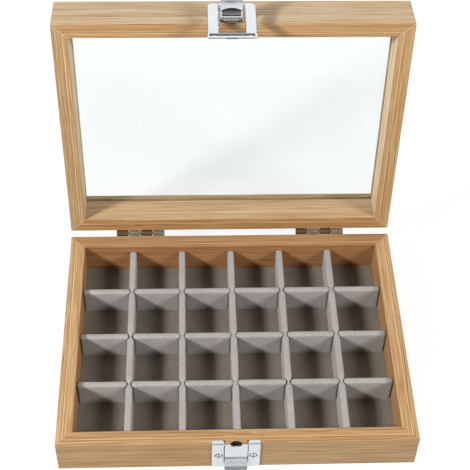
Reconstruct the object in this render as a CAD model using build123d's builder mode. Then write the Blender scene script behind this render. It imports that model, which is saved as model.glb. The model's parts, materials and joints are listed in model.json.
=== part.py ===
from build123d import *
from math import asin, cos, degrees, radians, sin
import os

# A wooden jewelry box that stands open: a shallow tray with 24 velvet-lined compartments and a
# hinged lid with a clear pane, closed by a draw latch. Millimetres. The origin is the middle of
# the tray's underside, +X to the right, +Y to the hinges, +Z up. The lid stands open at rest.

# Box
box_width = 200.0
box_depth = 152.0
tray_height = 24.0
lid_height = 23.5
wall = 9.0
corner_round = 0.8
edge_round = 0.5
closed_gap = 0.3
open_angle = 95.5

# Tray floor
panel_thickness = 2.5
panel_lap = 4.0
panel_play = 0.2
lining_thickness = 0.5
lining_play = 0.3

# Compartment dividers
columns = 6
rows = 4
side_cell_extra = 1.5
front_cell_extra = 2.2
divider_thickness = 3.9
divider_drop = 4.0
divider_play = 0.4
divider_round = 1.0
lap_thickness = 2.7
lap_play = 0.15

# Pane
pane_thickness = 2.0
pane_depth = 17.8
pane_lap = 3.5
pane_play = 0.2

# Hinges
hinge_width = 30.0
hinge_inset = 28.5
hinge_knuckles = 4
knuckle_play = 0.3
knuckle_radius = 1.9
knuckle_gap = 0.3
leaf_thickness = 0.8
leaf_height = 12.0
hinge_pin_radius = 1.0
running_play = 0.05
hinge_screw_spread = 17.0
hinge_screw_drop = 8.0

# Countersunk wood screws
screw_radius = 0.9
screw_head_radius = 1.7
screw_length = 7.0
screw_sink = 0.1
pilot_play = 0.05
recess_arm = 0.5
recess_reach = 1.25
recess_depth = 0.6

# Latch on the lid's front
latch_offset = -1.6
base_thickness = 0.6
base_width = 13.6
base_bottom = 0.8
base_height = 14.5
base_notch_radius = 0.9
base_notch_spread = 6.6
ear_thickness = 0.7
ear_spread = 9.1
ear_radius = 1.3
base_screw_spread = 6.4
base_screw_up = 12.2
lever_width = 12.0
lever_skin = 0.8
lever_pivot_up = 3.2
lever_pivot_out = 2.25
lever_reach = 17.6
lever_eye_radius = 1.35
lever_cheek_rise = 2.6
lever_band_start = 1.3
lever_band_rise = 1.0
lever_band_skin = 0.5
lever_lip_width = 0.6
lever_lip_rise = 2.1
lever_arch_rise = 1.3
lever_handle_start = 6.4
lever_handle_rise = 2.2
lever_tip_rise = 3.0
lever_tip_length = 5.0
lever_swing = 90.0
crank = 5.6
latch_pin_radius = 0.7

# Loop frame of the latch
link = 21.4
frame_width = 26.4
frame_skin = 0.8
frame_corner = 2.8
frame_edge_round = 0.45
window_width = 14.4
window_head = 1.75
frame_head = 2.95
crossbar = 1.9
pad_foot_up = 0.5
pad_foot_corner = 1.3
foot_reach = 1.2
foot_corner = 0.6
foot_groove_width = 0.8
foot_groove_depth = 0.45
foot_groove_length = 24.4
foot_stud_radius = 0.7
foot_stud_spread = 19.2
foot_tab_reach = 0.3
lip_depth = 0.7
hook_depth = 0.5
hook_width = 6.6
frame_boss_radius = 1.15
frame_boss_length = 2.0
frame_open_out = 3.9
frame_closed_out = 2.7

# Catch plate on the tray's front
catch_shift = 0.5
catch_width = 26.6
catch_skin = 0.8
catch_bottom = 1.0
catch_corner = 1.6
catch_tab_width = 7.2
catch_tab_depth = 1.8
catch_tab_slant = 1.2
catch_bend_round = 0.7
tab_play = 0.1
catch_screw_spread = 19.2
catch_screw_drop = 11.8
pan_head_radius = 1.9
pan_head_height = 0.5
pan_head_round = 0.25
tongue_width = 12.6
tongue_skin = 0.7
tongue_slit = 0.5
tongue_root = 5.4
tongue_flare = 6.8
tongue_top_drop = 0.6
tongue_top_out = 0.95
tongue_out = 1.9
tongue_curl_out = 4.8
tongue_curl_up = 2.0
tongue_bend = 0.4
groove_out = 0.8
groove_width = 1.4
groove_slope = 0.6
notch_radius = 3.6
notch_depth = 1.9
finger_recess_width = 6.4
finger_recess_depth = 1.4
finger_recess_drop = 4.0

# Derived places
lining_top = panel_thickness + lining_thickness
inner_width = box_width - 2 * wall
inner_depth = box_depth - 2 * wall
pin_out = knuckle_radius + knuckle_gap
pin_y = box_depth / 2 + pin_out
pin_z = tray_height + closed_gap / 2
knuckle_length = (hinge_width - (hinge_knuckles - 1) * knuckle_play) / hinge_knuckles
frame_open_tilt = degrees(asin((lever_pivot_out + crank - frame_open_out) / link))
frame_closed_tilt = degrees(asin((lever_pivot_out - frame_closed_out) / link))
groove_up = tray_height + closed_gap + lever_pivot_up + crank - link * cos(radians(frame_closed_tilt))
catch_screw_up = tray_height - catch_screw_drop
tongue_top = tray_height - tongue_top_drop

# The lid's own plane: its origin is the middle of the rim, its z points out of the lid's top
lid_turn = radians(open_angle)
lid_y = Vector(0, cos(lid_turn), -sin(lid_turn))
lid_z = Vector(0, sin(lid_turn), cos(lid_turn))
lid_origin = Vector(0, pin_y, pin_z) - lid_y * pin_y + lid_z * (closed_gap / 2)
tray_base = Plane.XY
lid_base = Plane(origin=lid_origin, x_dir=(1, 0, 0), z_dir=lid_z)


def arc_radius(chord, rise):
    """Radius of an arc with the given chord and rise."""
    return (chord ** 2 / 4 + rise ** 2) / (2 * rise)


def upright(base, y, z=0.0):
    """Plane across a base plane: local x right, y up, z towards the front."""
    return Plane(origin=base.from_local_coords((0, y, z)), x_dir=base.x_dir, z_dir=-base.y_dir)


def across(base, y, z, x=0.0):
    """Plane seen from the right side: local x back, y up, z to the right."""
    return Plane(origin=base.from_local_coords((x, y, z)), x_dir=base.y_dir, z_dir=base.x_dir)


def facing_back(base, y, z=0.0):
    """Plane across a base plane seen from behind: local x left, y up, z to the back."""
    return Plane(origin=base.from_local_coords((0, y, z)), x_dir=-base.x_dir, z_dir=base.y_dir)


def save(piece, name):
    """Labels a finished piece and writes its file."""
    piece.part.label = name
    export_step(piece.part, "parts/" + name + ".step")


os.makedirs("parts", exist_ok=True)


# Wall boards, in the order front, right, back, left
outer_corners = [(-box_width / 2, -box_depth / 2), (box_width / 2, -box_depth / 2),
                 (box_width / 2, box_depth / 2), (-box_width / 2, box_depth / 2)]
inner_corners = [(-inner_width / 2, -inner_depth / 2), (inner_width / 2, -inner_depth / 2),
                 (inner_width / 2, inner_depth / 2), (-inner_width / 2, inner_depth / 2)]


def wall_board(base, side, height, notch_low, notch_high, notch_lap):
    """Mitred board with softened edges and a notch on its inner face for a panel or a pane."""
    start, end = outer_corners[side], outer_corners[(side + 1) % 4]
    foot = base.from_local_coords(((start[0] + end[0]) / 2, (start[1] + end[1]) / 2, 0))
    inward = (base.origin - foot).normalized()
    section = Plane(origin=foot, x_dir=inward, z_dir=inward.cross(base.z_dir))
    with BuildPart() as board:
        with BuildSketch(section) as outline:
            Rectangle(wall, height, align=(Align.MIN, Align.MIN))
            fillet(outline.vertices(), edge_round)
            with Locations((wall - notch_lap / 2, (notch_low + notch_high) / 2)):
                Rectangle(notch_lap, notch_high - notch_low, mode=Mode.SUBTRACT)
        extrude(amount=box_width / 2, both=True)
        with BuildSketch(base):
            Polygon(start, end, inner_corners[(side + 1) % 4], inner_corners[side], align=None)
            RectangleRounded(box_width, box_depth, corner_round, mode=Mode.INTERSECT)
        extrude(amount=height, mode=Mode.INTERSECT)
    return board.part


# Tray
tray_boards = [wall_board(tray_base, k, tray_height, 0, panel_thickness, panel_lap) for k in range(4)]
hinge_centres = [k * (box_width / 2 - hinge_inset - hinge_width / 2) for k in (-1, 1)]
hinge_screw_x = [c + k * hinge_screw_spread / 2 for c in hinge_centres for k in (-1, 1)]
tray_front = upright(tray_base, -box_depth / 2)
catch_x = latch_offset + catch_shift
catch_screws_at = [(catch_x + k * catch_screw_spread / 2, catch_screw_up) for k in (-1, 1)]
finger_recess_radius = arc_radius(finger_recess_width, finger_recess_depth)
catch_tabs_at = [catch_x + k * (catch_width - catch_tab_width) / 2 for k in (-1, 1)]

with BuildPart() as tray_front_wall:
    add(tray_boards[0])
    with BuildSketch(tray_front):
        with Locations(catch_screws_at):
            Circle(screw_radius + pilot_play)
    extrude(amount=-screw_length, mode=Mode.SUBTRACT)
    with BuildSketch(Plane.XY.offset(tray_height)):
        with Locations([(x, -box_depth / 2) for x in catch_tabs_at]):
            Rectangle(catch_tab_width + 2 * tab_play, 2 * (catch_tab_depth + tab_play))
    extrude(amount=-catch_skin, mode=Mode.SUBTRACT)
    with BuildSketch(Plane.XY.offset(tray_height)):
        with Locations((catch_x, finger_recess_depth - box_depth / 2 - finger_recess_radius)):
            Circle(finger_recess_radius)
    extrude(amount=-finger_recess_drop, mode=Mode.SUBTRACT)
save(tray_front_wall, "tray_front_wall")

with BuildPart() as tray_back_wall:
    add(tray_boards[2])
    with BuildSketch(upright(tray_base, box_depth / 2)):
        with Locations([(x, pin_z - hinge_screw_drop) for x in hinge_screw_x]):
            Circle(screw_radius + pilot_play)
    extrude(amount=screw_length, mode=Mode.SUBTRACT)
save(tray_back_wall, "tray_back_wall")

with BuildPart() as tray_right_wall:
    add(tray_boards[1])
save(tray_right_wall, "tray_right_wall")

with BuildPart() as tray_left_wall:
    add(tray_boards[3])
save(tray_left_wall, "tray_left_wall")

with BuildPart() as tray_bottom_panel:
    with BuildSketch(Plane.XY):
        Rectangle(inner_width + 2 * panel_lap - panel_play, inner_depth + 2 * panel_lap - panel_play)
    extrude(amount=panel_thickness)
save(tray_bottom_panel, "tray_bottom_panel")

with BuildPart() as tray_floor_lining:
    with BuildSketch(Plane.XY.offset(panel_thickness)):
        Rectangle(inner_width - lining_play, inner_depth - lining_play)
    extrude(amount=lining_thickness)
save(tray_floor_lining, "tray_floor_lining")

# Dividers, lapped halfway where they cross. The side and front cells are a little larger.
column_pitch = (inner_width + divider_thickness - 2 * side_cell_extra) / columns
row_pitch = (inner_depth + divider_thickness - front_cell_extra) / rows
column_places = [(k - columns / 2) * column_pitch for k in range(1, columns)]
row_places = [(inner_depth + divider_thickness) / 2 - (rows - k) * row_pitch for k in range(1, rows)]
divider_top = tray_height - divider_drop
divider_height = divider_top - lining_top
lap_height = lining_top + divider_height / 2


def divider_board(section, length):
    """Board with a softly rounded top, as long as given, centred on its section."""
    with BuildPart() as board:
        with BuildSketch(section) as outline:
            Rectangle(divider_thickness, divider_height, align=(Align.CENTER, Align.MIN))
            fillet(outline.vertices().group_by(Axis.Y)[-1], divider_round)
        extrude(amount=length / 2, both=True)
    return board.part


for number, place in enumerate(column_places, 1):
    blank = divider_board(upright(tray_base, 0, lining_top), inner_depth - 2 * divider_play)
    with BuildPart() as column_divider:
        add(blank.moved(Location((place, 0, 0))))
        with BuildSketch(Plane.XY.offset(lining_top)):
            with Locations([(place, y) for y in row_places]):
                Rectangle(divider_thickness, divider_thickness + 2 * lap_play)
                Rectangle(lap_thickness, divider_thickness + 2 * lap_play, mode=Mode.SUBTRACT)
        extrude(amount=divider_height, mode=Mode.SUBTRACT)
        with BuildSketch(Plane.XY.offset(lining_top)):
            with Locations([(place, y) for y in row_places]):
                Rectangle(divider_thickness, divider_thickness + 2 * lap_play)
        extrude(amount=divider_height / 2, mode=Mode.SUBTRACT)
    save(column_divider, "column_divider_" + str(number))

for number, place in enumerate(row_places, 1):
    blank = divider_board(across(tray_base, place, lining_top), inner_width - 2 * divider_play)
    with BuildPart() as row_divider:
        add(blank)
        with BuildSketch(Plane.XY.offset(lap_height)):
            with Locations([(x, place) for x in column_places]):
                Rectangle(lap_thickness + 2 * lap_play, divider_thickness)
        extrude(amount=divider_height, mode=Mode.SUBTRACT)
    save(row_divider, "row_divider_" + str(number))

# Lid
pane_groove_top = pane_depth + pane_thickness + pane_play
pane_groove_lap = pane_lap + pane_play
lid_boards = [wall_board(lid_base, k, lid_height, pane_depth, pane_groove_top, pane_groove_lap)
              for k in range(4)]
lid_front = upright(lid_base, -box_depth / 2)
base_screws_at = [(latch_offset + k * base_screw_spread / 2, base_screw_up) for k in (-1, 1)]

with BuildPart() as lid_front_wall:
    add(lid_boards[0])
    with BuildSketch(lid_front):
        with Locations(base_screws_at):
            Circle(screw_radius + pilot_play)
    extrude(amount=-screw_length, mode=Mode.SUBTRACT)
save(lid_front_wall, "lid_front_wall")

with BuildPart() as lid_back_wall:
    add(lid_boards[2])
    with BuildSketch(upright(lid_base, box_depth / 2)):
        with Locations([(x, hinge_screw_drop - closed_gap / 2) for x in hinge_screw_x]):
            Circle(screw_radius + pilot_play)
    extrude(amount=screw_length, mode=Mode.SUBTRACT)
save(lid_back_wall, "lid_back_wall")

with BuildPart() as lid_right_wall:
    add(lid_boards[1])
save(lid_right_wall, "lid_right_wall")

with BuildPart() as lid_left_wall:
    add(lid_boards[3])
save(lid_left_wall, "lid_left_wall")

with BuildPart() as lid_pane:
    with BuildSketch(lid_base.offset(pane_depth + pane_play / 2)):
        Rectangle(inner_width + 2 * pane_lap, inner_depth + 2 * pane_lap)
    extrude(amount=pane_thickness)
save(lid_pane, "lid_pane")


# Hinges: the lid leaf has the first and third knuckle from the left, the tray leaf the others
knuckle_pitch = knuckle_length + knuckle_play
gap_height = 2 * (knuckle_radius + knuckle_play)


def hinge_leaf(base, pin_level, side, centre, first, bore):
    """Leaf on a back face: side is 1 above the pin and -1 below, first is its first knuckle."""
    back_face = upright(base, box_depth / 2, pin_level)
    starts = [centre - hinge_width / 2 + k * knuckle_pitch for k in range(hinge_knuckles)]
    mine, others = starts[first::2], starts[1 - first::2]
    holes = [(centre + k * hinge_screw_spread / 2, side * hinge_screw_drop) for k in (-1, 1)]
    with BuildPart() as leaf:
        with BuildSketch(back_face):
            with Locations((centre, side * leaf_height / 2)):
                Rectangle(hinge_width, leaf_height)
            with Locations([(x + knuckle_length / 2, 0) for x in others]):
                Rectangle(knuckle_length + 2 * knuckle_play, gap_height, mode=Mode.SUBTRACT)
        extrude(amount=-leaf_thickness)
        for x in mine:
            with BuildSketch(across(base, pin_y, pin_level, x)):
                Circle(knuckle_radius)
            extrude(amount=knuckle_length)
        with BuildSketch(across(base, pin_y, pin_level, centre)):
            Circle(bore)
        extrude(amount=hinge_width, both=True, mode=Mode.SUBTRACT)
        outer = back_face.offset(-leaf_thickness)
        with BuildSketch(outer):
            with Locations(holes):
                Circle(screw_radius + pilot_play)
        extrude(amount=leaf_thickness, mode=Mode.SUBTRACT)
        with BuildSketch(outer):
            with Locations(holes):
                Circle(screw_head_radius)
        extrude(amount=screw_head_radius - screw_radius, taper=45, mode=Mode.SUBTRACT)
    return leaf


for centre, name in zip(hinge_centres, ("left", "right")):
    tray_leaf = hinge_leaf(tray_base, pin_z, -1, centre, 1, hinge_pin_radius)
    save(tray_leaf, "hinge_tray_leaf_" + name)
    lid_leaf = hinge_leaf(lid_base, -closed_gap / 2, 1, centre, 0, hinge_pin_radius + running_play)
    save(lid_leaf, "hinge_lid_leaf_" + name)
    with BuildPart() as hinge_pin:
        with BuildSketch(across(tray_base, pin_y, pin_z, centre)):
            Circle(hinge_pin_radius)
        extrude(amount=hinge_width / 2, both=True)
    save(hinge_pin, "hinge_pin_" + name)


def make_screws(face, places, proud=0.0):
    """Cross-head screws, countersunk to the face plane or with round heads that stand proud of it."""
    with BuildPart() as screws:
        with BuildSketch(face):
            with Locations(places):
                Circle(pan_head_radius if proud else screw_head_radius - screw_sink)
        if proud:
            extrude(amount=proud)
            fillet(screws.edges().group_by(Axis(face.origin, face.z_dir))[-1], pan_head_round)
        else:
            extrude(amount=screw_radius + screw_sink - screw_head_radius, taper=45)
        with BuildSketch(face):
            with Locations(places):
                Circle(screw_radius)
        extrude(amount=-screw_length)
        with BuildSketch(face.offset(proud)):
            with Locations(places):
                Rectangle(2 * recess_reach, recess_arm)
                Rectangle(recess_arm, 2 * recess_reach)
        extrude(amount=-recess_depth, mode=Mode.SUBTRACT)
    return screws


leaf_back = box_depth / 2 + leaf_thickness
tray_screws_at = [(x, -hinge_screw_drop) for x in hinge_screw_x]
save(make_screws(facing_back(tray_base, leaf_back, pin_z), tray_screws_at), "hinge_tray_screws")
lid_screws_at = [(x, hinge_screw_drop) for x in hinge_screw_x]
save(make_screws(facing_back(lid_base, leaf_back, -closed_gap / 2), lid_screws_at), "hinge_lid_screws")

# Latch base: a plate on the lid's front with two ears for the lever's pin
latch_side = across(lid_base, -box_depth / 2, 0, latch_offset)
pivot = (-lever_pivot_out, lever_pivot_up)

with BuildPart() as latch_base:
    with BuildSketch(lid_front):
        with Locations((latch_offset, base_bottom + base_height / 2)):
            Rectangle(base_width, base_height)
        with Locations([(latch_offset + k * base_notch_spread / 2, base_bottom) for k in (-1, 1)]):
            Circle(base_notch_radius, mode=Mode.SUBTRACT)
    extrude(amount=base_thickness)
    for k in (-1, 1):
        with BuildSketch(latch_side.offset(k * ear_spread / 2)):
            with Locations(pivot):
                Circle(ear_radius)
            with Locations((-lever_pivot_out / 2, lever_pivot_up)):
                Rectangle(lever_pivot_out, 2 * ear_radius)
        extrude(amount=ear_thickness / 2, both=True)
    with BuildSketch(latch_side):
        with Locations(pivot):
            Circle(latch_pin_radius)
    extrude(amount=base_width, both=True, mode=Mode.SUBTRACT)
    with BuildSketch(lid_front):
        with Locations(base_screws_at):
            Circle(screw_radius + pilot_play)
    extrude(amount=base_thickness, mode=Mode.SUBTRACT)
save(latch_base, "latch_base")
save(make_screws(lid_front.offset(base_thickness), base_screws_at, pan_head_height), "latch_base_screws")

with BuildPart() as lever_pin:
    with BuildSketch(latch_side):
        with Locations(pivot):
            Circle(latch_pin_radius)
    extrude(amount=lever_width / 2, both=True)
save(lever_pin, "latch_lever_pin")

# Lever, standing straight out from the lid's front: local x runs from its pin to its tip
lever_turn = radians(lever_swing)
pivot_point = latch_side.from_local_coords((-lever_pivot_out, lever_pivot_up, 0))
lever_along = -lid_base.y_dir * sin(lever_turn) + lid_base.z_dir * cos(lever_turn)
lever_side = Plane(origin=pivot_point, x_dir=lever_along, z_dir=lid_base.x_dir)
cheek_spread = lever_width - lever_skin
lever_band_top = lever_band_rise + lever_band_skin
lever_arch_end = lever_handle_start + lever_arch_rise
lever_arch_radius = arc_radius(lever_width - 2 * lever_skin, lever_arch_rise)
lever_face = Plane(origin=lever_side.from_local_coords((0, lever_band_top, 0)), x_dir=lever_along,
                   z_dir=lever_side.y_dir)

with BuildPart() as latch_lever:
    for k in (-1, 1):
        with BuildSketch(lever_side.offset(k * cheek_spread / 2)):
            with Locations((0, 0), (crank, 0)):
                Circle(lever_eye_radius)
            Polygon((0, -lever_eye_radius), (crank, -lever_eye_radius), (crank + lever_eye_radius, 0),
                    (crank + lever_eye_radius, lever_handle_rise), (crank, lever_cheek_rise),
                    (lever_band_start, lever_cheek_rise), (-lever_eye_radius, 0), align=None)
        extrude(amount=lever_skin / 2, both=True)
    with BuildSketch(lever_side):
        Polygon((lever_band_start, lever_band_rise), (lever_arch_end + lever_skin, lever_band_rise),
                (lever_arch_end + lever_skin, lever_handle_rise + lever_skin),
                (lever_handle_start, lever_handle_rise + lever_skin), (lever_handle_start, lever_band_top),
                (lever_band_start + lever_lip_width, lever_band_top),
                (lever_band_start + lever_lip_width, lever_lip_rise), (lever_band_start, lever_lip_rise),
                align=None)
    extrude(amount=lever_width / 2, both=True)
    with BuildSketch(lever_side):
        with BuildLine():
            handle = [(lever_arch_end, lever_handle_rise),
                      (lever_reach - lever_tip_length, lever_handle_rise), (lever_reach, lever_tip_rise)]
            FilletPolyline(*handle, radius=lever_tip_length)
            offset(amount=lever_skin, side=Side.LEFT)
        make_face()
    extrude(amount=lever_width / 2, both=True)
    with BuildSketch(lever_face):
        with Locations((lever_arch_end - lever_arch_radius, 0)):
            Circle(lever_arch_radius)
        with Locations((lever_band_start + lever_lip_width, 0)):
            Rectangle(lever_reach, lever_width - 2 * lever_skin, align=(Align.MIN, Align.CENTER),
                      mode=Mode.INTERSECT)
    extrude(amount=lever_reach, mode=Mode.SUBTRACT)
    with BuildSketch(lever_side):
        with Locations((0, 0), (crank, 0)):
            Circle(latch_pin_radius + running_play)
    extrude(amount=lever_width, both=True, mode=Mode.SUBTRACT)
save(latch_lever, "latch_lever")

# Loop frame, hung on the lever: local y runs from its crossbar to its pin
link_point = lever_side.from_local_coords((crank, 0, 0))
tilt = radians(frame_open_tilt)
frame_up = lid_base.z_dir * cos(tilt) - lid_base.y_dir * sin(tilt)
frame_front = Plane(origin=link_point, x_dir=lid_base.x_dir, z_dir=lid_base.x_dir.cross(frame_up))
frame_side = Plane(origin=link_point, x_dir=-frame_front.z_dir, z_dir=lid_base.x_dir)
frame_out = Axis(frame_front.origin, frame_front.z_dir)
frame_foot = -link - frame_skin / 2 - foot_reach
window_foot = crossbar - link - frame_skin / 2
pad_foot = pad_foot_up - link
groove_middle = pad_foot - foot_groove_width / 2


def frame_plate(level, thickness, foot, corner, window_top):
    """Plate of the loop frame, from a level outwards and down to a foot, round the window."""
    with BuildPart() as plate:
        with BuildSketch(frame_front.offset(level)) as outline:
            with Locations((0, (frame_head + foot) / 2)):
                Rectangle(frame_width, frame_head - foot)
            fillet(outline.vertices().group_by(Axis.Y)[-1], frame_corner)
            fillet(outline.vertices().group_by(Axis.Y)[0], corner)
            with Locations((0, (window_top + window_foot) / 2)):
                Rectangle(window_width, window_top - window_foot, mode=Mode.SUBTRACT)
        extrude(amount=thickness)
    return plate


# The raised pad hides the pin's bosses. It leaves the top open, where the lever closes over the frame.
pad_rise = frame_boss_radius - frame_skin / 2
raised_pad = frame_plate(frame_skin / 2, pad_rise, pad_foot, pad_foot_corner, frame_head)
with BuildPart() as soft_pad:
    add(raised_pad.part)
    fillet(soft_pad.faces().sort_by(frame_out)[-1].edges(), frame_edge_round)

with BuildPart() as latch_frame:
    add(frame_plate(-frame_skin / 2, frame_skin, frame_foot, foot_corner, window_head).part)
    add(soft_pad.part)
    with BuildSketch(frame_front):
        with Locations((0, frame_foot)):
            Rectangle(hook_width, 2 * foot_tab_reach)
    extrude(amount=-frame_skin / 2)
    with BuildSketch(frame_front.offset(frame_skin / 2)):
        with Locations((0, groove_middle)):
            Rectangle(foot_groove_length, foot_groove_width)
        with Locations([(k * foot_stud_spread / 2, groove_middle) for k in (-1, 1)]):
            Circle(foot_stud_radius, mode=Mode.SUBTRACT)
    extrude(amount=-foot_groove_depth, mode=Mode.SUBTRACT)
    with BuildSketch(frame_front.offset(-frame_skin / 2)):
        with Locations((0, -link)):
            Rectangle(frame_width, frame_skin)
    extrude(amount=-lip_depth)
    with BuildSketch(frame_front.offset(-frame_skin / 2 - lip_depth)):
        with Locations((0, -link)):
            Rectangle(hook_width, frame_skin)
    extrude(amount=-hook_depth)
    for k in (-1, 1):
        with BuildSketch(frame_side.offset(k * (window_width + frame_boss_length) / 2)):
            Circle(frame_boss_radius)
        extrude(amount=frame_boss_length / 2, both=True)
    with BuildSketch(frame_side):
        Circle(latch_pin_radius)
    extrude(amount=window_width / 2 + frame_boss_length, both=True, mode=Mode.SUBTRACT)
save(latch_frame, "latch_frame")

with BuildPart() as frame_pin:
    with BuildSketch(frame_side):
        Circle(latch_pin_radius)
    extrude(amount=window_width / 2 + frame_boss_length, both=True)
save(frame_pin, "latch_frame_pin")

# Catch plate: wings and tabs round a raised tongue, whose groove takes the frame's hook
catch_side = across(tray_base, -box_depth / 2, 0, catch_x)
groove_low = groove_up - groove_width / 2
groove_high = groove_up + groove_width / 2
tongue_line = [(-tongue_out, tongue_flare), (-tongue_out, groove_low - groove_slope),
               (-groove_out, groove_low), (-groove_out, groove_high),
               (-tongue_out, groove_high + groove_slope / 2), (-tongue_top_out, tongue_top)]

with BuildPart() as catch_plate:
    with BuildSketch(tray_front) as outline:
        with Locations((catch_x, (tray_height + catch_bottom) / 2)):
            Rectangle(catch_width, tray_height - catch_bottom)
        fillet(outline.vertices().group_by(Axis.Y)[0], catch_corner)
        with Locations((catch_x, (tray_height + tongue_root) / 2)):
            Rectangle(tongue_width + 2 * tongue_slit, tray_height - tongue_root, mode=Mode.SUBTRACT)
    extrude(amount=catch_skin)
    with BuildSketch(Plane.XY.offset(tray_height)):
        for k, x in zip((-1, 1), catch_tabs_at):
            outside = x + k * catch_tab_width / 2
            inside = x - k * catch_tab_width / 2
            Polygon((outside, -box_depth / 2 - catch_skin), (inside, -box_depth / 2 - catch_skin),
                    (inside + k * catch_tab_slant, -box_depth / 2 + catch_tab_depth),
                    (outside, -box_depth / 2 + catch_tab_depth), align=None)
    extrude(amount=-catch_skin)
    rim_edges = catch_plate.edges().filter_by(Axis.X).group_by(Axis.Z)[-1]
    fillet(rim_edges.group_by(Axis.Y)[0], catch_bend_round)
    with BuildSketch(catch_side):
        with BuildLine():
            TangentArc((-tongue_out, tongue_flare), (-tongue_curl_out, tongue_curl_up), tangent=(0, -1))
            Polyline((-tongue_curl_out, tongue_curl_up),
                     (-tongue_curl_out + tongue_skin, tongue_curl_up - tongue_skin), (0, catch_bottom),
                     (0, tongue_root), (tongue_skin - tongue_out, tongue_root),
                     (tongue_skin - tongue_out, tongue_flare), (-tongue_out, tongue_flare))
        make_face()
    extrude(amount=tongue_width / 2, both=True)
    with BuildSketch(catch_side):
        with BuildLine():
            FilletPolyline(*tongue_line, radius=tongue_bend)
            offset(amount=tongue_skin, side=Side.RIGHT)
        make_face()
    extrude(amount=tongue_width / 2, both=True)
    with BuildSketch(tray_front):
        with Locations((catch_x, tongue_top + notch_radius - notch_depth)):
            Circle(notch_radius)
    extrude(amount=tongue_curl_out, mode=Mode.SUBTRACT)
    with BuildSketch(tray_front):
        with Locations(catch_screws_at):
            Circle(screw_radius + pilot_play)
    extrude(amount=catch_skin, mode=Mode.SUBTRACT)
save(catch_plate, "catch_plate")

save(make_screws(tray_front.offset(catch_skin), catch_screws_at, pan_head_height), "catch_screws")
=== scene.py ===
import bpy
import json
import math
from mathutils import Matrix, Vector, noise


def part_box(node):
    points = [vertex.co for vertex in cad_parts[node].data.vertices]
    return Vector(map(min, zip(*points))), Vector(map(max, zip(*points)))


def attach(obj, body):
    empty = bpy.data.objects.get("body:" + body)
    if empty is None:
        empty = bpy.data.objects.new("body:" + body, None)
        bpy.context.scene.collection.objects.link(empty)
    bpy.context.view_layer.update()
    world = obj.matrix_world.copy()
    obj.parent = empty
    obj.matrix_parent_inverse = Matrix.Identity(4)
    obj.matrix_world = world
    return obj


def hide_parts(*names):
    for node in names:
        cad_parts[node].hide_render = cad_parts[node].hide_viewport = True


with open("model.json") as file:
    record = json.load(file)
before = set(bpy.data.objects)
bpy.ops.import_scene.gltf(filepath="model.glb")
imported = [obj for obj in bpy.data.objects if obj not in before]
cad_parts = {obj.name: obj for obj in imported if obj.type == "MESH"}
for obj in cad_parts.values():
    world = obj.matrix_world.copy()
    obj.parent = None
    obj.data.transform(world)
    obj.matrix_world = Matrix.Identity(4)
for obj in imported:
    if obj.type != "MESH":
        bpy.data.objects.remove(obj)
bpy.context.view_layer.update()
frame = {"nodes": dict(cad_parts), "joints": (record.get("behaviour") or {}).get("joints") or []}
nodes = frame["nodes"]
joints = {j["name"]: j for j in frame["joints"]}
MM = 0.001

# Sizes read from the frame, in metres
half_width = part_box("tray_right_wall")[1].x
half_depth = -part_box("tray_front_wall")[0].y
tray_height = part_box("tray_front_wall")[1].z
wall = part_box("tray_right_wall")[1].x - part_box("tray_right_wall")[0].x
hinge_place = Vector(joints["lid_hinge"]["pos_m"])
lid_turn = math.radians(joints["lid_hinge"]["range_deg"][1])
lid_gap = 2 * (hinge_place.z - tray_height)
catch_middle = sum(v.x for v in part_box("catch_plate")) / 2

# The turn that closes the lid: the lid's boards are described as they lie on the closed box
closing = (Matrix.Translation(hinge_place) @ Matrix.Rotation(lid_turn, 4, "X")
           @ Matrix.Translation(-hinge_place))

# Camera, solved from the box's corners in the photograph
camera_place = Vector((-24.2, -413.7, 576.1)) * MM
camera_yaw = math.radians(3.182)
camera_pitch = math.radians(48.389)
camera_roll = math.radians(1.791)
focal_pixels = 1167.5
image_pixels = 470
sensor_mm = 36.0
clip_near = 0.01
clip_far = 50.0

# Stage: each soft box has a place, a size and a power
floor_size = 6.0
floor_shade = 0.16
floor_glow = 0.82
floor_roughness = 0.9
white = (1.0, 1.0, 1.0, 1.0)
sky_glow = 0.16
card_glow = 1.35
card_rise = math.radians(49.0)
card_spread = (0.80, 0.93)
left_light = ((-1.2, -0.68, 1.05), 0.24, 42.0)
right_light = ((1.2, -0.68, 1.05), 0.5, 27.0)
light_target = (0.0, 0.0, 0.03)

# Velvet dividers, in millimetres
column_round = 0.75
row_round = 1.5
section_side_steps = 5
section_arc_steps = 6
section_top_steps = 3
lap_play = 0.15
lap_thickness = 2.7
lap_inset = 0.3
station_step = 0.9
end_stations = (0.15, 0.4, 0.8, 1.3)
crossing_stations = (-0.01, 0.01, 0.25, 0.6, 1.0, 1.5, 2.1)

# Columns pinched at the crossings: mean share of the full pinch, and how much it varies
pinch_depth = 1.3
pinch_reach = 3.3
pinch_drop = 0.8
pinch_share = 0.75
pinch_vary = 0.5
pinch_vary_scale = 0.04
pinch_seed = 7.7

# Soft ends: share of the width left, and how far from the end it is full again
row_end_width = 0.3
row_end_start = 0.25
row_end_reach = 2.0
row_end_drop = 0.5
tip_width = 0.62
tip_reach = 1.4
tip_drop = 0.5

# Unevenness of the dividers' velvet
nap_depth = 0.035
nap_scale = 1.3
nap_clear = 0.1
sway_depth = 0.12
sway_scale = 0.09
sway_seed = 3.1

# Floor lining, in millimetres
lining_step = 1.5
lining_dip = 0.1
lining_dip_scale = 0.12

# Modelled meshes are shaded smooth up to this angle
smooth_angle = math.radians(40.0)


def linear(red, green, blue):
    """Linear colour of an sRGB colour given from 0 to 255."""
    values = [c / 255 for c in (red, green, blue)]
    return tuple(c / 12.92 if c <= 0.04045 else ((c + 0.055) / 1.055) ** 2.4 for c in values)


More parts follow.
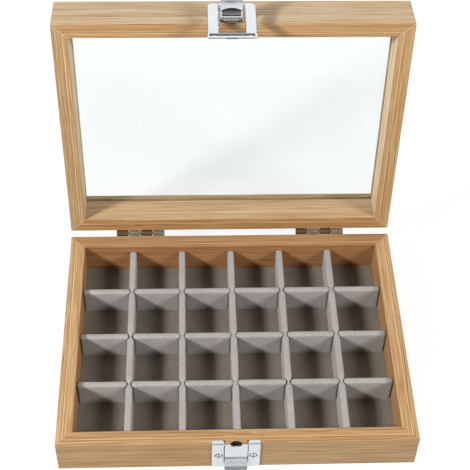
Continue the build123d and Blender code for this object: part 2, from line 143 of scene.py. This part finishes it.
# Wood film: scale along the grain, scale across it and detail of each noise
film_drift = (9.0, 170.0, 1.0)
film_bands = (3.0, 150.0, 1.0)
film_stripes = (12.0, 700.0, 1.0)
film_threads = (40.0, 2300.0, 1.0)
film_pores = (260.0, 3600.0, 0.0)
film_noise_roughness = 0.55
band_share = 0.14
stripe_share = 0.3
thread_share = 0.56

# Slow sway of the grain, which is less on the faces than on the rims
wander_scale = 9.0
wander_detail = 2.0
wander_depth = 3.0 * MM
face_sway = 0.35

# Tones of the film
film_tones = [(0.31, linear(138, 98, 58)), (0.5, linear(168, 130, 88)), (0.69, linear(186, 156, 116))]
line_shade = linear(128, 86, 46)
pore_shade = linear(150, 116, 84)
seam_shade = linear(92, 58, 30)
arris_highlight_tone = linear(212, 178, 134)
recess_shadow_tone = linear(44, 30, 20)
pore_stops = [(0.6, 0.0), (0.72, 1.0)]
pore_strength = 0.35
seam_strength = 0.75
arris_highlight_strength = 0.35

# Ruled lines of the film: spacing, wander and strength, and where they break off
face_ruling = (1.7 * MM, 7.0, 0.42)
rim_ruling = (1.9 * MM, 14.0, 0.6)
ruled_stops = [(0.5, 0.0), (0.95, 1.0)]
broken_stops = [(0.36, 1.0), (0.6, 0.35)]

# Relief and gloss of the film
film_relief = 0.4
film_relief_depth = 0.04 * MM
pore_relief = 0.5
film_gloss_stops = [(0.3, 0.66), (0.7, 0.54)]
film_specular = 0.3

# Widths of the film's fine lines and of its painted highlight, and the finger recess behind the catch
# plate
seam_width = 0.16 * MM
arris_highlight_width = 0.34 * MM
mitre_width = 0.14 * MM
film_thickness = 0.1 * MM
rim_reach = 0.4 * MM
# The finger recess is painted with its shadow
finger_recess_half = 3.4 * MM
finger_recess_depth = 1.6 * MM
finger_recess_drop = 4.0 * MM

# Boards: grain along x or not, tones of the rim, the outer and the inner face, and the seam's inset
# The board tones are partly real differences between pieces of film and partly painted light and shade:
# the tray's outer faces and back boards are darkened where less light reaches them, and the lid's faces
# and inner sides are lightened
tray_boards = {"front": (True, (0.82, 0.84, 0.84), (0.73, 0.78, 0.78), (0.78, 0.74, 0.7), 3.3 * MM),
               "back": (True, (0.69, 0.665, 0.6), (0.78, 0.82, 0.84), (0.7, 0.57, 0.5), 6.4 * MM),
               "left": (False, (0.91, 0.96, 1.0), (0.78, 0.82, 0.84), (0.78, 0.72, 0.66), 3.0 * MM),
               "right": (False, (0.9, 0.95, 0.98), (0.78, 0.82, 0.84), (0.74, 0.68, 0.64), 3.0 * MM)}
lid_boards = {"front": (True, (0.82, 0.84, 0.82), (1.05, 1.32, 1.8), (1.0, 1.16, 1.34), 5.6 * MM),
              "back": (True, (0.76, 0.7, 0.6), (0.98, 1.2, 1.5), (0.94, 1.1, 1.3), 5.0 * MM),
              "left": (False, (0.82, 0.9, 0.93), (0.98, 1.2, 1.5), (1.24, 1.55, 2.06), 5.6 * MM),
              "right": (False, (0.85, 0.88, 0.84), (0.98, 1.2, 1.5), (1.26, 1.6, 2.2), 5.6 * MM)}

# Strength and tone of the mitre lines, and how far the grain is shifted from board to board
tray_mitre = (0.3, linear(128, 92, 58))
lid_mitre = (0.7, linear(206, 190, 164))
board_shift = 0.31
lid_shift = 0.17

# Fibreboard of the tray's bottom. From here on a noise is its scale, detail and roughness
fleck_noise = (900.0, 3.0, 0.5)
cloud_noise = (40.0, 2.0, 0.5)
fleck_share = 0.7
fibre_tones = [(0.35, linear(120, 88, 58)), (0.5, linear(150, 114, 78)), (0.65, linear(172, 138, 100))]
fibre_relief = 0.6
fibre_relief_depth = 0.05 * MM
fibre_roughness = 0.75

# Velvet: its noises and their shares, and tones and sheen of both cloths
nap_noise = (2600.0, 2.0, 0.7)
tuft_noise = (700.0, 3.0, 0.5)
patch_noise = (90.0, 2.0, 0.5)
nap_share = 0.4
tuft_share = 0.35
patch_share = 0.25
tuft_relief = 1.5
velvet_relief = 0.55
velvet_relief_depth = 0.12 * MM
velvet_roughness = 0.95
velvet_specular = 0.1
sheen_roughness = 0.45
grey_tones = [(0.36, linear(128, 124, 120)), (0.62, linear(149, 145, 141))]
grey_sheen = 0.12
dark_tones = [(0.36, linear(98, 90, 81)), (0.62, linear(118, 110, 100))]
dark_sheen = 0.15

# Metals: colour, lowest and highest roughness, stretch of the brushing and its depth
plate_brushing = (300.0, 4000.0, 4000.0)
leaf_brushing = (300.0, 2500.0, 2500.0)
screw_brushing = (1500.0, 1500.0, 1500.0)
chrome = ((0.63, 0.66, 0.68), 0.1, 0.22, plate_brushing, 0.01 * MM)
satin = ((0.64, 0.68, 0.70), 0.3, 0.42, plate_brushing, 0.01 * MM)
smoked = ((0.30, 0.27, 0.24), 0.2, 0.32, plate_brushing, 0.01 * MM)
hinge_steel = ((0.66, 0.61, 0.55), 0.2, 0.36, leaf_brushing, 0.02 * MM)
leaf_steel = ((0.66, 0.61, 0.55), 0.22, 0.38, leaf_brushing, 0.02 * MM)
screw_steel = ((0.56, 0.54, 0.52), 0.18, 0.32, screw_brushing, 0.02 * MM)
brush_noise = (1.0, 2.0, 0.5)
metal_cloud_noise = (300.0, 2.0, 0.5)
metal_cloud_shade = 0.95
metal_cloud_stops = (0.35, 0.65)
metal_gloss_stops = (0.3, 0.7)
metal_relief = 0.3

# The lever's sunk band, from its pin, where shade and a dim reflection are painted in
band_level = 1.5 * MM
band_skin = 0.08 * MM
band_half = 5.3 * MM
band_start = 1.9 * MM
band_end = 7.8 * MM
band_shade_tones = [(0.0, linear(128, 130, 128)), (0.35, linear(98, 97, 92)), (0.62, linear(44, 44, 42))]

# Catch plate: painted shadow round its screws and painted shade down its tongue
screw_shadow_tone = (0.05, 0.05, 0.05)
screw_shadow_width = 0.4 * MM
tongue_shade_tone = (0.42, 0.44, 0.44)
tongue_half = 6.4 * MM
tongue_shade_low = 3.0 * MM
tongue_shade_high = 13.0 * MM
tongue_shade_stops = [(0.1, 0.1), (0.25, 0.65), (1.0, 0.0)]

# Darker brown tone round the hinges' knuckles, and how far it reaches from the pin
knuckle_dark_tone = (0.34, 0.24, 0.17)
knuckle_reach = 2.7 * MM

# Pane
glass_tone = (0.64, 0.74, 0.72)
glass_alpha = 0.3
glass_index = 1.02
smear_noise = (25.0, 3.0, 0.5)
smear_stops = [(0.4, 0.0), (0.8, 0.015)]


# Node helpers
def new_material(name):
    """Material with a Principled shader, and a function that adds nodes to it."""
    material = bpy.data.materials.new(name)
    material.use_nodes = True
    tree = material.node_tree
    shader = tree.nodes["Principled BSDF"]

    def add(kind, links=(), **values):
        node = tree.nodes.new("ShaderNode" + kind)
        for key, value in values.items():
            setattr(node, key, value)
        for target, source in links:
            socket = node.inputs[target]
            if isinstance(source, bpy.types.NodeSocket):
                tree.links.new(source, socket)
            else:
                socket.default_value = source
        return node

    return material, shader, add, tree.links.new


def ramp(add, source, stops):
    """Colour ramp with the given stops, each a place and a colour or a grey value."""
    node = add("ValToRGB", [("Fac", source)])
    elements = node.color_ramp.elements
    while len(elements) < len(stops):
        elements.new(0.5)
    for element, (place, colour) in zip(elements, stops):
        element.position = place
        shade = (colour,) * 3 if isinstance(colour, (int, float)) else colour
        element.color = (*shade, 1.0)
    return node.outputs["Color"]


def maths(add, operation, *values):
    """One Math node."""
    return add("Math", list(enumerate(values)), operation=operation).outputs[0]


def within(add, value, middle, reach):
    """1 where a value lies within a reach of its middle, 0 elsewhere."""
    return maths(add, "LESS_THAN", maths(add, "ABSOLUTE", maths(add, "SUBTRACT", value, middle)), reach)


def weighted(add, *parts):
    """Sum of values times their shares, given as pairs."""
    terms = [maths(add, "MULTIPLY", value, share) for value, share in parts]
    total = terms.pop()
    while terms:
        total = maths(add, "ADD", terms.pop(), total)
    return total


def blend(add, kind, factor, first, second):
    """One colour Mix node of the given blend type."""
    node = add("Mix", data_type="RGBA", blend_type=kind)
    for target, value in (("Factor", factor), ("A", first), ("B", second)):
        socket = next(s for s in node.inputs if s.name == target and s.enabled)
        if isinstance(value, bpy.types.NodeSocket):
            node.id_data.links.new(value, socket)
        else:
            socket.default_value = (*value, 1.0) if isinstance(value, tuple) else value
    return next(s for s in node.outputs if s.enabled)


def cover(add, mask, strength, colour, tone):
    """Colour covered by a tone where a mask is 1."""
    return blend(add, "MIX", maths(add, "MULTIPLY", mask, strength), colour, tone)


def own_place(add):
    """Place on a part in the shared frame."""
    return add("TexCoord").outputs["Object"]


def closed_place(add):
    """Place on the lid or its latch, as it lies on the closed box."""
    turn = add("Mapping", [("Vector", own_place(add))])
    turn.inputs["Location"].default_value = closing.translation
    turn.inputs["Rotation"].default_value = (lid_turn, 0.0, 0.0)
    return turn.outputs["Vector"]


def axes(add, place):
    """X, Y and Z of a place."""
    return add("SeparateXYZ", [("Vector", place)]).outputs


def cloudy(add, place, kind):
    """Noise at a place, of a kind given as its scale, detail and roughness."""
    scale, detail, roughness = kind
    return add("TexNoise", [("Vector", place), ("Scale", scale), ("Detail", detail),
                            ("Roughness", roughness)]).outputs[0]


def relief(add, link, shader, height, strength, depth):
    """Bumps the surface by a height."""
    bump = add("Bump", [("Height", height), ("Strength", strength), ("Distance", depth)])
    link(bump.outputs["Normal"], shader.inputs["Normal"])


# Wood
def film_grain(add, places, kind):
    """Noise stretched along the grain."""
    scale_along, scale_across, detail = kind
    scales = (scale_along, scale_across, scale_across)
    links = [(axis, maths(add, "MULTIPLY", place, scale))
             for axis, place, scale in zip("XYZ", places, scales)]
    stretched = add("CombineXYZ", links).outputs[0]
    return cloudy(add, stretched, (1.0, detail, film_noise_roughness))


def ruled_lines(add, places, drift, ruling):
    """Darker lines at an even spacing across the grain, which wander with a slow noise."""
    spacing, wander, strength = ruling
    phase = maths(add, "MULTIPLY", maths(add, "ADD", places[1], places[2]), 2 * math.pi / spacing)
    wave = maths(add, "SINE", maths(add, "ADD", phase, maths(add, "MULTIPLY", drift, wander)))
    return maths(add, "MULTIPLY", ramp(add, wave, ruled_stops), strength)


def swayed_places(add, along, out, up, on_rim, shift):
    """Places along, across and up the grain, swayed slowly along the board."""
    links = [("W", maths(add, "ADD", along, shift)), ("Scale", wander_scale), ("Detail", wander_detail)]
    wander = add("TexNoise", links, noise_dimensions="1D").outputs[0]
    amount = maths(add, "ADD", on_rim, face_sway)
    sway = maths(add, "MULTIPLY", maths(add, "MULTIPLY", wander, wander_depth), amount)
    across = maths(add, "ADD", maths(add, "ADD", out, sway), shift)
    level = maths(add, "ADD", up, maths(add, "ADD", sway, shift))
    return along, across, level


def film_pattern(add, places, on_rim):
    """Printed pattern of the film, with the noises that its gloss and relief follow."""
    drift = film_grain(add, places, film_drift)
    stripes = film_grain(add, places, film_stripes)
    threads = film_grain(add, places, film_threads)
    bands = film_grain(add, places, film_bands)
    mixed = weighted(add, (bands, band_share), (stripes, stripe_share), (threads, thread_share))
    colour = ramp(add, mixed, film_tones)
    on_face = maths(add, "SUBTRACT", 1.0, on_rim)
    lines = maths(add, "ADD", maths(add, "MULTIPLY", ruled_lines(add, places, drift, rim_ruling), on_rim),
                  maths(add, "MULTIPLY", ruled_lines(add, places, drift, face_ruling), on_face))
    colour = cover(add, lines, ramp(add, stripes, broken_stops), colour, line_shade)
    pores = ramp(add, film_grain(add, places, film_pores), pore_stops)
    return cover(add, pores, pore_strength, colour, pore_shade), stripes, threads, pores


def board_tones_and_painted_light(add, colour, on_rim, depth, board):
    """Pattern toned for a board's rim, its outer face and its inner face. The tones are partly real film
    colour and partly painted light and shade.
    """
    _, rim_tone_and_light, outer_tone_and_light, inner_tone_and_light, _ = board
    is_inner = maths(add, "GREATER_THAN", depth, wall - film_thickness)
    face = blend(add, "MULTIPLY", 1.0, colour, blend(add, "MIX", is_inner, outer_tone_and_light, inner_tone_and_light))
    return blend(add, "MIX", on_rim, face, blend(add, "MULTIPLY", 1.0, colour, rim_tone_and_light))


def fine_lines(add, colour, depth, end, seam_inset, mitre):
    """Colour with the painted highlight on the edge inside the seam, the seam itself and the mitre line,
    and the seam's mask.
    """
    # Painted highlight on the edge just inside the seam
    arris_highlight = within(add, depth, seam_inset + seam_width + arris_highlight_width, arris_highlight_width)
    seam = within(add, depth, seam_inset, seam_width)
    joint = within(add, end, depth, mitre_width)
    colour = cover(add, arris_highlight, arris_highlight_strength, colour, arris_highlight_tone)
    colour = cover(add, seam, seam_strength, colour, seam_shade)
    return cover(add, joint, mitre[0], colour, mitre[1]), seam


def finger_recess_shadow(add, colour, place):
    """Colour with painted shadow inside the finger recess behind the catch plate."""
    beside = within(add, place["X"], catch_middle, finger_recess_half)
    deep = within(add, place["Y"], -half_depth, finger_recess_depth)
    below = within(add, place["Z"], tray_height - finger_recess_drop, finger_recess_drop - film_thickness)
    inside = maths(add, "MULTIPLY", beside, maths(add, "MULTIPLY", deep, below))
    return blend(add, "MIX", inside, colour, recess_shadow_tone)


def wood_film(name, on_lid, shift, board, mitre):
    """Printed wood film with straight grain along a board, and the fine lines of its seams and mitres."""
    material, shader, add, link = new_material(name)
    place = axes(add, closed_place(add) if on_lid else own_place(add))
    along_x, seam_inset = board[0], board[-1]
    along, out = (place["X"], place["Y"]) if along_x else (place["Y"], place["X"])
    half_long, half_out = (half_width, half_depth) if along_x else (half_depth, half_width)
    rim = tray_height + lid_gap if on_lid else tray_height
    on_rim = within(add, place["Z"], rim, rim_reach)
    depth = maths(add, "SUBTRACT", half_out, maths(add, "ABSOLUTE", out))
    end = maths(add, "SUBTRACT", half_long, maths(add, "ABSOLUTE", along))

    places = swayed_places(add, along, out, place["Z"], on_rim, shift)
    colour, stripes, threads, pores = film_pattern(add, places, on_rim)
    # Board tones, partly painted light and shade
    colour = board_tones_and_painted_light(add, colour, on_rim, depth, board)
    colour, seam = fine_lines(add, colour, depth, end, seam_inset, mitre)
    # Painted shadow in the finger recess of the front board
    if not on_lid:
        colour = finger_recess_shadow(add, colour, place)
    link(colour, shader.inputs["Base Color"])

    sunk = maths(add, "ADD", maths(add, "MULTIPLY", pores, pore_relief), seam)
    relief(add, link, shader, maths(add, "SUBTRACT", threads, sunk), film_relief, film_relief_depth)
    link(ramp(add, stripes, film_gloss_stops), shader.inputs["Roughness"])
    shader.inputs["Specular IOR Level"].default_value = film_specular
    return material


def fibreboard():
    """Brown fibreboard with fine flecks, for the tray's bottom."""
    material, shader, add, link = new_material("fibreboard")
    place = own_place(add)
    flecks = cloudy(add, place, fleck_noise)
    mixed = weighted(add, (flecks, fleck_share), (cloudy(add, place, cloud_noise), 1.0 - fleck_share))
    link(ramp(add, mixed, fibre_tones), shader.inputs["Base Color"])
    relief(add, link, shader, flecks, fibre_relief, fibre_relief_depth)
    shader.inputs["Roughness"].default_value = fibre_roughness
    return material


# Velvet
def velvet(name, tones, sheen):
    """Short-pile velvet: fine nap, brushed patches and a pale sheen at grazing angles."""
    material, shader, add, link = new_material(name)
    place = own_place(add)
    nap = cloudy(add, place, nap_noise)
    tufts = cloudy(add, place, tuft_noise)
    patches = cloudy(add, place, patch_noise)
    mixed = weighted(add, (nap, nap_share), (tufts, tuft_share), (patches, patch_share))
    link(ramp(add, mixed, tones), shader.inputs["Base Color"])
    height = maths(add, "ADD", nap, maths(add, "MULTIPLY", tufts, tuft_relief))
    relief(add, link, shader, height, velvet_relief, velvet_relief_depth)
    shader.inputs["Roughness"].default_value = velvet_roughness
    shader.inputs["Specular IOR Level"].default_value = velvet_specular
    shader.inputs["Sheen Weight"].default_value = sheen
    shader.inputs["Sheen Roughness"].default_value = sheen_roughness
    return material


# Metal and glass
def metal(name, kind, tint=None):
    """Plated metal with faint brushing and uneven gloss. A tint changes its colour in places."""
    colour, rough_low, rough_high, brushing, brush_depth = kind
    material, shader, add, link = new_material(name)
    place = own_place(add)
    stretched = add("VectorMath", [(0, place), (1, brushing)], operation="MULTIPLY").outputs[0]
    lines = cloudy(add, stretched, brush_noise)
    shaded = tuple(c * metal_cloud_shade for c in colour)
    tones = list(zip(metal_cloud_stops, (shaded, colour)))
    gloss = list(zip(metal_gloss_stops, (rough_low, rough_high)))
    bright = ramp(add, cloudy(add, place, metal_cloud_noise), tones)
    link(tint(add, bright) if tint else bright, shader.inputs["Base Color"])
    link(ramp(add, lines, gloss), shader.inputs["Roughness"])
    relief(add, link, shader, lines, metal_relief, brush_depth)
    shader.inputs["Metallic"].default_value = 1.0
    return material


def lever_band_painted_shade(add, bright):
    """Band sunk between the lever's cheeks, painted with shade and a dim reflection that deepen from the
    pin towards the handle.
    """
    place = axes(add, closed_place(add))
    pivot = closing @ Vector(joints["latch_lever_pivot"]["pos_m"])
    length = band_end - band_start
    sunk = within(add, place["Z"], pivot.z - band_level, band_skin)
    beside = within(add, place["X"], pivot.x, band_half)
    along = within(add, place["Y"], pivot.y - (band_start + band_end) / 2, length / 2)
    band = maths(add, "MULTIPLY", sunk, maths(add, "MULTIPLY", beside, along))
    share = maths(add, "DIVIDE", maths(add, "SUBTRACT", pivot.y - band_start, place["Y"]), length)
    return blend(add, "MIX", band, bright, ramp(add, share, band_shade_tones))


def catch_plate_painted_shade(add, bright):
    """Painted shade down the catch plate's tongue, and a painted shadow in the thin slit round each of
    its screws.
    """
    low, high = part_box("catch_screws")
    radius = (high.z - low.z) / 2
    place = axes(add, own_place(add))
    aside = maths(add, "ABSOLUTE", maths(add, "SUBTRACT", place["X"], (low.x + high.x) / 2))
    across = maths(add, "SUBTRACT", aside, (high.x - low.x) / 2 - radius)
    upward = maths(add, "SUBTRACT", place["Z"], (low.z + high.z) / 2)
    squares = [maths(add, "MULTIPLY", side, side) for side in (across, upward)]
    from_screw = maths(add, "SQRT", maths(add, "ADD", *squares))
    screw_shadow = within(add, from_screw, radius + screw_shadow_width / 2, screw_shadow_width / 2)
    on_tongue = within(add, place["X"], catch_middle, tongue_half)
    share = maths(add, "DIVIDE", maths(add, "SUBTRACT", place["Z"], tongue_shade_low),
                  tongue_shade_high - tongue_shade_low)
    tongue_shade = maths(add, "MULTIPLY", on_tongue, ramp(add, share, tongue_shade_stops))
    return blend(add, "MIX", screw_shadow, blend(add, "MIX", tongue_shade, bright, tongue_shade_tone), screw_shadow_tone)


def knuckle_darkening(add, bright):
    """Darker brown tone round the hinge's pin."""
    place = axes(add, own_place(add))
    near = maths(add, "MULTIPLY", within(add, place["Y"], hinge_place.y, knuckle_reach),
                 within(add, place["Z"], hinge_place.z, knuckle_reach))
    return blend(add, "MIX", near, bright, knuckle_dark_tone)


def glass():
    """Clear pane, thin enough to let light into the closed box, with the faintest uneven gloss."""
    material, shader, add, link = new_material("pane_glass")
    smear = cloudy(add, own_place(add), smear_noise)
    link(ramp(add, smear, smear_stops), shader.inputs["Roughness"])
    shader.inputs["Base Color"].default_value = (*glass_tone, 1.0)
    shader.inputs["Alpha"].default_value = glass_alpha
    shader.inputs["Coat Weight"].default_value = 1.0
    shader.inputs["Transmission Weight"].default_value = 1.0
    shader.inputs["IOR"].default_value = glass_index
    return material


def dress(material, *names):
    """Gives CAD nodes a material in place of the one they came with."""
    for name in names:
        piece = nodes[name]
        piece.data.materials.clear()
        piece.data.materials.append(material)


# Mesh helpers
def make_piece(name, points, faces, material, body):
    """Smooth mesh object from points in metres, riding on a body."""
    mesh = bpy.data.meshes.new(name)
    mesh.from_pydata(points, [], faces)
    mesh.update()
    mesh.polygons.foreach_set("use_smooth", [True] * len(mesh.polygons))
    mesh.set_sharp_from_angle(angle=smooth_angle)
    mesh.materials.append(material)
    piece = bpy.data.objects.new(name, mesh)
    bpy.context.scene.collection.objects.link(piece)
    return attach(piece, body)


def skin_rings(rings):
    """Points and faces of a tube through closed rings of points, with flat ends."""
    count = len(rings[0])
    points = [p for ring in rings for p in ring]
    faces = []
    for r in range(len(rings) - 1):
        for k in range(count):
            a, b = r * count + k, r * count + (k + 1) % count
            faces.append((a, b, b + count, a + count))
    faces.append(tuple(reversed(range(count))))
    faces.append(tuple(range((len(rings) - 1) * count, len(rings) * count)))
    return points, faces


# Dividers
def divider_section(half, low, top, edge_round):
    """Closed outline of a divider's section, from low to a softly rounded top, in millimetres."""
    curve = min(edge_round, half, (top - low) / 2)
    side = (top - curve - low) / section_side_steps
    right = [(half, low + side * k) for k in range(section_side_steps)]
    turns = [k / section_arc_steps * math.pi / 2 for k in range(section_arc_steps + 1)]
    right += [(half - curve + curve * math.cos(a), top - curve + curve * math.sin(a)) for a in turns]
    flat = half - curve
    middle = [(flat - 2 * flat * k / section_top_steps, top) for k in range(1, section_top_steps)]
    left = [(-x, z) for x, z in reversed(right)]
    return right + middle + left


def divider_stations(ends, crossings, edge):
    """Places along a divider: even steps, and closer ones at its ends and round each crossing."""
    low, high = ends
    count = round((high - low) / station_step)
    places = {round(low + (high - low) * k / count, 3) for k in range(count + 1)}
    places |= {round(end, 3) for d in end_stations for end in (low + d, high - d)}
    offsets = [edge + d for d in crossing_stations] + [edge / 2, 0.0]
    places |= {round(c + side * d, 3) for c in crossings for d in offsets for side in (-1, 1)}
    return sorted(places)


def rounded_end(distance, reach):
    """Share of full width left at a distance from a soft end, as a quarter ellipse."""
    t = max(0.0, min(1.0, distance / reach))
    return math.sqrt(1 - (1 - t) ** 2)


def row_station(near, edge, half, low, high):
    """Half width, bottom and top of a row, cut down where a column passes over it."""
    if near < edge:
        return half - lap_inset, low, (low + high) / 2 - lap_play
    share = rounded_end(near - edge + row_end_start, row_end_reach)
    return half * (row_end_width + (1 - row_end_width) * share), low, high - row_end_drop * (1 - share)


def column_station(near, edge, half, low, high, seed):
    """Half width, bottom and top of a column, pinched where it passes over a row."""
    share = pinch_share + pinch_vary * noise.noise(Vector(seed))
    waist = max(0.0, 1 - near / pinch_reach) * share
    bottom = (low + high) / 2 + lap_play if near < edge else low
    return half - pinch_depth * waist, bottom, high - pinch_drop * waist


def velvet_ring(section, run, wide, station, centre, foot, head):
    """Ring of points round a section, with a slow sway that grows upwards and a fine nap."""
    bottom = section[0][1]
    ring = []
    for x, z in section:
        at = Vector((0.0, 0.0, z))
        at[run], at[wide] = station, centre + x
        sway = sway_depth * noise.noise(at * sway_scale + Vector((centre, sway_seed, 0.0)))
        rise = max(0.0, (z - foot) / (head - foot))
        nap = nap_depth * noise.noise(at * nap_scale)
        at[wide] += sway * rise + (nap if x > 0 else -nap)
        if z > bottom + nap_clear:
            at.z += min(0.0, nap)
        ring.append(at * MM)
    return ring


def velvet_divider(name, node, is_row, crossings, material):
    """Divider wrapped in velvet, pinched where columns pass over rows."""
    low, high = (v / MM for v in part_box(node))
    run, wide = (0, 1) if is_row else (1, 0)
    centre = (low[wide] + high[wide]) / 2
    half_full = (high[wide] - low[wide]) / 2
    edge = (lap_thickness / 2 if is_row else half_full) + lap_play
    rings = []
    for station in divider_stations((low[run], high[run]), crossings, edge):
        near = min(abs(station - c) for c in crossings)
        if is_row:
            half, bottom, top = row_station(near, edge, half_full, low.z, high.z)
        else:
            seed = (centre, station * pinch_vary_scale, pinch_seed)
            half, bottom, top = column_station(near, edge, half_full, low.z, high.z, seed)
        tip = rounded_end(min(station - low[run], high[run] - station), tip_reach)
        half *= tip_width + (1 - tip_width) * tip
        top -= tip_drop * (1 - tip)
        section = divider_section(half, bottom, top, row_round if is_row else column_round)
        ring = velvet_ring(section, run, wide, station, centre, low.z, high.z)
        rings.append(ring if is_row else ring[::-1])
    piece = make_piece(name, *skin_rings(rings), material, "tray")
    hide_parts(node)


def build_dividers(material):
    """All column and row dividers, each in place of its CAD node."""
    columns = sorted(n for n in nodes if n.startswith("column_divider"))
    rows = sorted(n for n in nodes if n.startswith("row_divider"))
    column_places = [sum(v.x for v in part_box(n)) / 2 / MM for n in columns]
    row_places = [sum(v.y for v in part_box(n)) / 2 / MM for n in rows]
    for n in columns:
        velvet_divider("velvet_" + n, n, False, row_places, material)
    for n in rows:
        velvet_divider("velvet_" + n, n, True, column_places, material)


def build_lining(material):
    """Velvet laid over the tray's floor, with soft unevenness."""
    low, high = (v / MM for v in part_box("tray_floor_lining"))
    across = round((high.x - low.x) / lining_step)
    deep = round((high.y - low.y) / lining_step)
    rings = []
    for j in range(deep + 1):
        y = low.y + (high.y - low.y) * j / deep
        top = []
        for k in range(across + 1):
            x = low.x + (high.x - low.x) * k / across
            dip = lining_dip * (0.5 + 0.5 * noise.noise(Vector((x, y, 0.0)) * lining_dip_scale))
            top.append(Vector((x, y, high.z - dip)) * MM)
        rings.append(top + [Vector((high.x, y, low.z)) * MM, Vector((low.x, y, low.z)) * MM])
    piece = make_piece("velvet_floor_lining", *skin_rings(rings), material, "tray")
    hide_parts("tray_floor_lining")


# Stage, light and camera
def build_stage():
    """Pale floor that glows a little, as in a light tent."""
    half = floor_size / 2
    corners = [(-half, -half, 0), (half, -half, 0), (half, half, 0), (-half, half, 0)]
    mesh = bpy.data.meshes.new("floor")
    mesh.from_pydata(corners, [], [(0, 1, 2, 3)])
    floor = bpy.data.objects.new("floor", mesh)
    bpy.context.scene.collection.objects.link(floor)
    material, shader, _, _ = new_material("pale_floor")
    shader.inputs["Base Color"].default_value = (floor_shade, floor_shade, floor_shade, 1.0)
    shader.inputs["Roughness"].default_value = floor_roughness
    shader.inputs["Emission Color"].default_value = white
    shader.inputs["Emission Strength"].default_value = floor_glow
    mesh.materials.append(material)


def build_sky():
    """Dim even sky with one bright card high behind the box."""
    world = bpy.data.worlds.new("soft_sky")
    world.use_nodes = True
    tree = world.node_tree
    place = tree.nodes.new("ShaderNodeTexCoord")
    facing = tree.nodes.new("ShaderNodeVectorMath")
    facing.operation = "DOT_PRODUCT"
    facing.inputs[1].default_value = (0.0, math.cos(card_rise), math.sin(card_rise))
    level = tree.nodes.new("ShaderNodeMapRange")
    level.interpolation_type = "SMOOTHSTEP"
    level.inputs["From Min"].default_value = card_spread[0]
    level.inputs["From Max"].default_value = card_spread[1]
    level.inputs["To Min"].default_value = sky_glow
    level.inputs["To Max"].default_value = card_glow
    tree.nodes["Background"].inputs["Color"].default_value = white
    tree.links.new(place.outputs["Generated"], facing.inputs[0])
    tree.links.new(facing.outputs["Value"], level.inputs["Value"])
    tree.links.new(level.outputs[0], tree.nodes["Background"].inputs["Strength"])
    bpy.context.scene.world = world


def area_light(name, place, size, power):
    """Square soft box at a place, facing the box."""
    data = bpy.data.lights.new(name, "AREA")
    data.shape = "SQUARE"
    data.size = size
    data.energy = power
    lamp = bpy.data.objects.new(name, data)
    lamp.location = place
    lamp.rotation_mode = "QUATERNION"
    lamp.rotation_quaternion = (Vector(light_target) - Vector(place)).to_track_quat("-Z", "Y")
    bpy.context.scene.collection.objects.link(lamp)


def build_camera():
    """Camera at the photograph's place, turn and focal length."""
    forward = Vector((math.sin(camera_yaw) * math.cos(camera_pitch),
                      math.cos(camera_yaw) * math.cos(camera_pitch), -math.sin(camera_pitch)))
    level = Vector((math.cos(camera_yaw), -math.sin(camera_yaw), 0.0))
    upward = level.cross(forward)
    right = level * math.cos(camera_roll) + upward * math.sin(camera_roll)
    up = upward * math.cos(camera_roll) - level * math.sin(camera_roll)
    data = bpy.data.cameras.new("camera")
    data.sensor_width = sensor_mm
    data.lens = focal_pixels / image_pixels * sensor_mm
    data.clip_start = clip_near
    data.clip_end = clip_far
    camera = bpy.data.objects.new("camera", data)
    turn = Matrix((right, up, -forward)).transposed().to_4x4()
    camera.matrix_world = Matrix.Translation(camera_place) @ turn
    bpy.context.scene.collection.objects.link(camera)
    bpy.context.scene.camera = camera


build_stage()
build_sky()
area_light("left_softbox", *left_light)
area_light("right_softbox", *right_light)
build_camera()
bpy.context.scene.view_settings.view_transform = "Standard"

# Boards, each with its own piece of film
for number, side in enumerate(tray_boards):
    shift = board_shift * number
    tray_film = wood_film("tray_film_" + side, False, shift, tray_boards[side], tray_mitre)
    lid_film = wood_film("lid_film_" + side, True, shift + lid_shift, lid_boards[side], lid_mitre)
    dress(tray_film, "tray_" + side + "_wall")
    dress(lid_film, "lid_" + side + "_wall")
dress(fibreboard(), "tray_bottom_panel")

# Velvet
build_dividers(velvet("grey_velvet", grey_tones, grey_sheen))
build_lining(velvet("dark_velvet", dark_tones, dark_sheen))

# Hardware and pane
tray_leaves_and_pins = [n for n in nodes if n.startswith(("hinge_tray_leaf", "hinge_pin"))]
lid_leaves = [n for n in nodes if n.startswith("hinge_lid_leaf")]
screws = [n for n in nodes if n.endswith("screws")]
dress(metal("bright_chrome", chrome), "latch_lever_pin", "latch_frame", "latch_frame_pin")
dress(metal("lever_chrome", chrome, lever_band_painted_shade), "latch_lever")
dress(metal("smoked_chrome", smoked), "latch_base")
dress(metal("satin_chrome", satin, catch_plate_painted_shade), "catch_plate")
dress(metal("hinge_steel", hinge_steel), *tray_leaves_and_pins)
dress(metal("hinge_leaf", leaf_steel, knuckle_darkening), *lid_leaves)
dress(metal("screw_steel", screw_steel), *screws)
dress(glass(), "lid_pane")
